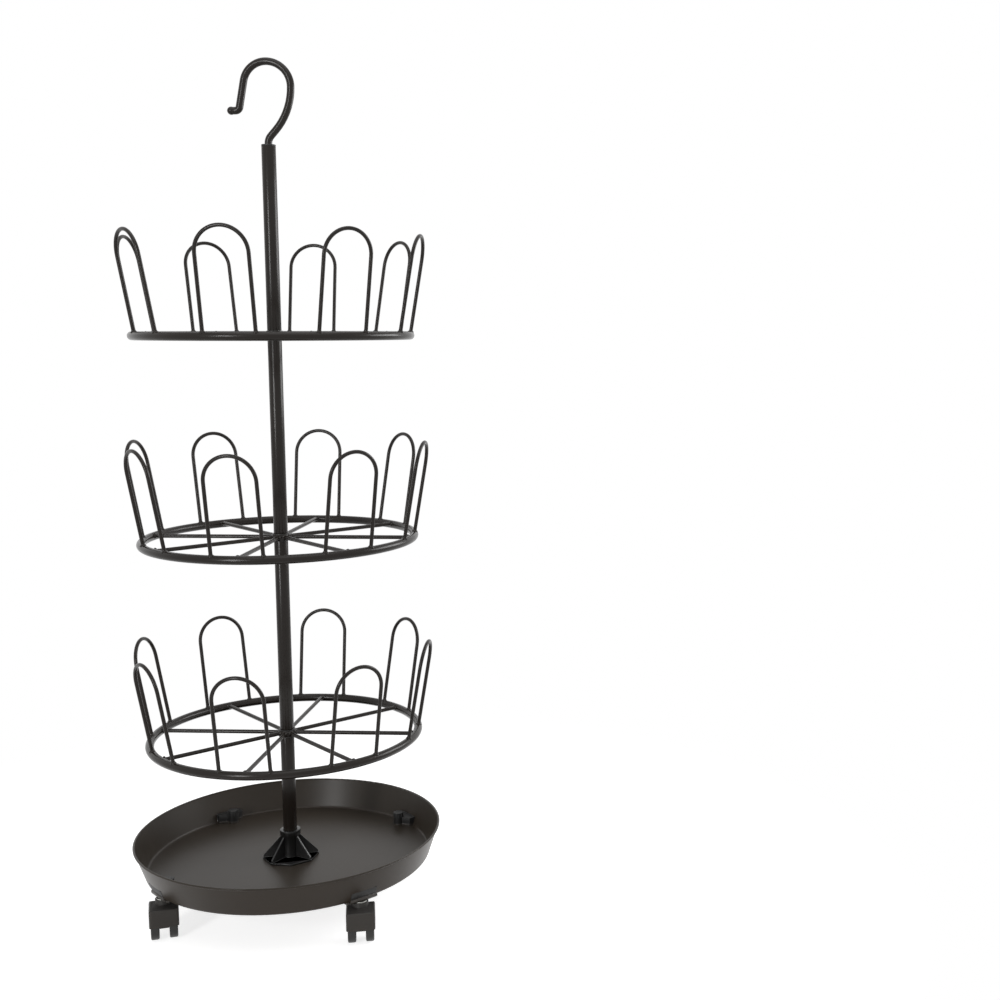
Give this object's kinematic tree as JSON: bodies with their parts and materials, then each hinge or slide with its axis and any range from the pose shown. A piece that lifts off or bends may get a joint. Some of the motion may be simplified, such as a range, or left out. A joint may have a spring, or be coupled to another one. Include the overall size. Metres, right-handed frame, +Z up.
{
  "type": "rotating shoe tower",
  "caption": "Free-standing shoe tower: a round tray on casters, an upright pole with a top hook, and wire tiers of upright loops that turn on the pole.",
  "frame": {"origin": "on the floor, under the axis of the pole", "axes": "+Z up along the pole; -Y is the front; +X is to the right seen from the front. The hook lies in the upright plane through X, its tip towards -X"},
  "size_m": [0.422, 0.422, 1.1686],
  "materials": {
    "tray_paint": "satin black powder coat",
    "frame_paint": "satin black powder coat",
    "bracket_paint": "satin black powder coat",
    "socket_plastic": "semi-gloss moulded black",
    "knob_plastic": "matte moulded black",
    "plug_plastic": "matte moulded black",
    "hood_plastic": "matte moulded dark grey",
    "wheel_plastic": "matte moulded black nylon",
    "bush_nylon": "dark moulded nylon",
    "zinc_steel": "zinc plated"
  },
  "bodies": {
    "stand": {"tray": "tray_paint", "pole_socket": "socket_plastic", "anchor_bolt": "zinc_steel", "anchor_washer": "zinc_steel", "pole_lower": "frame_paint", "pole_mid_low": "frame_paint", "pole_mid_high": "frame_paint", "pole_upper": "frame_paint", "pole_foot_plug": "plug_plastic", "pole_mid_low_plug": "plug_plastic", "pole_mid_high_plug": "plug_plastic", "pole_upper_plug": "plug_plastic", "bottom_joiner": "zinc_steel", "middle_joiner": "zinc_steel", "top_joiner": "zinc_steel", "hook": "frame_paint", "hook_plug": "plug_plastic", "front_left_bracket": "bracket_paint", "front_right_bracket": "bracket_paint", "back_right_bracket": "bracket_paint", "back_left_bracket": "bracket_paint", "clamp_knobs": "knob_plastic", "front_left_stem": "zinc_steel", "front_right_stem": "zinc_steel", "back_right_stem": "zinc_steel", "back_left_stem": "zinc_steel", "stem_clips": "zinc_steel"},
    "bottom_tier": {"bottom_ring": "frame_paint", "bottom_hub": "frame_paint", "bottom_spokes": "frame_paint", "bottom_loops": "frame_paint", "bottom_bushes": "bush_nylon"},
    "middle_tier": {"middle_ring": "frame_paint", "middle_hub": "frame_paint", "middle_spokes": "frame_paint", "middle_loops": "frame_paint", "middle_bushes": "bush_nylon"},
    "top_tier": {"top_ring": "frame_paint", "top_hub": "frame_paint", "top_spokes": "frame_paint", "top_loops": "frame_paint", "top_bushes": "bush_nylon"},
    "front_left_caster": {"front_left_hood": "hood_plastic", "front_left_axle": "zinc_steel"},
    "front_left_wheel_a": {"front_left_wheel_a": "wheel_plastic"},
    "front_left_wheel_b": {"front_left_wheel_b": "wheel_plastic"},
    "front_right_caster": {"front_right_hood": "hood_plastic", "front_right_axle": "zinc_steel"},
    "front_right_wheel_a": {"front_right_wheel_a": "wheel_plastic"},
    "front_right_wheel_b": {"front_right_wheel_b": "wheel_plastic"},
    "back_right_caster": {"back_right_hood": "hood_plastic", "back_right_axle": "zinc_steel"},
    "back_right_wheel_a": {"back_right_wheel_a": "wheel_plastic"},
    "back_right_wheel_b": {"back_right_wheel_b": "wheel_plastic"},
    "back_left_caster": {"back_left_hood": "hood_plastic", "back_left_axle": "zinc_steel"},
    "back_left_wheel_a": {"back_left_wheel_a": "wheel_plastic"},
    "back_left_wheel_b": {"back_left_wheel_b": "wheel_plastic"}
  },
  "joints": [
    {"name": "bottom_tier_spin", "type": "hinge", "parent": "stand", "child": "bottom_tier", "pos_m": [0, 0, 0.2405], "axis": [0, 0, 1], "continuous": true},
    {"name": "middle_tier_spin", "type": "hinge", "parent": "stand", "child": "middle_tier", "pos_m": [0, 0, 0.5205], "axis": [0, 0, 1], "continuous": true},
    {"name": "top_tier_spin", "type": "hinge", "parent": "stand", "child": "top_tier", "pos_m": [0, 0, 0.8005], "axis": [0, 0, 1], "continuous": true},
    {"name": "front_left_swivel", "type": "hinge", "parent": "stand", "child": "front_left_caster", "pos_m": [-0.13294, -0.13294, 0.046], "axis": [0, 0, 1], "continuous": true},
    {"name": "front_left_roll_a", "type": "hinge", "parent": "front_left_caster", "child": "front_left_wheel_a", "pos_m": [-0.12994, -0.14035, 0.0175], "axis": [0.9272, 0.3746, 0], "continuous": true},
    {"name": "front_left_roll_b", "type": "hinge", "parent": "front_left_caster", "child": "front_left_wheel_b", "pos_m": [-0.12994, -0.14035, 0.0175], "axis": [0.9272, 0.3746, 0], "continuous": true},
    {"name": "front_right_swivel", "type": "hinge", "parent": "stand", "child": "front_right_caster", "pos_m": [0.13294, -0.13294, 0.046], "axis": [0, 0, 1], "continuous": true},
    {"name": "front_right_roll_a", "type": "hinge", "parent": "front_right_caster", "child": "front_right_wheel_a", "pos_m": [0.1348, -0.14072, 0.0175], "axis": [0.9724, 0.2334, 0], "continuous": true},
    {"name": "front_right_roll_b", "type": "hinge", "parent": "front_right_caster", "child": "front_right_wheel_b", "pos_m": [0.1348, -0.14072, 0.0175], "axis": [0.9724, 0.2334, 0], "continuous": true},
    {"name": "back_right_swivel", "type": "hinge", "parent": "stand", "child": "back_right_caster", "pos_m": [0.13294, 0.13294, 0.046], "axis": [0, 0, 1], "continuous": true},
    {"name": "back_right_roll_a", "type": "hinge", "parent": "back_right_caster", "child": "back_right_wheel_a", "pos_m": [0.13514, 0.12525, 0.0175], "axis": [0.9613, 0.2756, 0], "continuous": true},
    {"name": "back_right_roll_b", "type": "hinge", "parent": "back_right_caster", "child": "back_right_wheel_b", "pos_m": [0.13514, 0.12525, 0.0175], "axis": [0.9613, 0.2756, 0], "continuous": true},
    {"name": "back_left_swivel", "type": "hinge", "parent": "stand", "child": "back_left_caster", "pos_m": [-0.13294, 0.13294, 0.046], "axis": [0, 0, 1], "continuous": true},
    {"name": "back_left_roll_a", "type": "hinge", "parent": "back_left_caster", "child": "back_left_wheel_a", "pos_m": [-0.13073, 0.12525, 0.0175], "axis": [0.9613, 0.2756, 0], "continuous": true},
    {"name": "back_left_roll_b", "type": "hinge", "parent": "back_left_caster", "child": "back_left_wheel_b", "pos_m": [-0.13073, 0.12525, 0.0175], "axis": [0.9613, 0.2756, 0], "continuous": true}
  ]
}
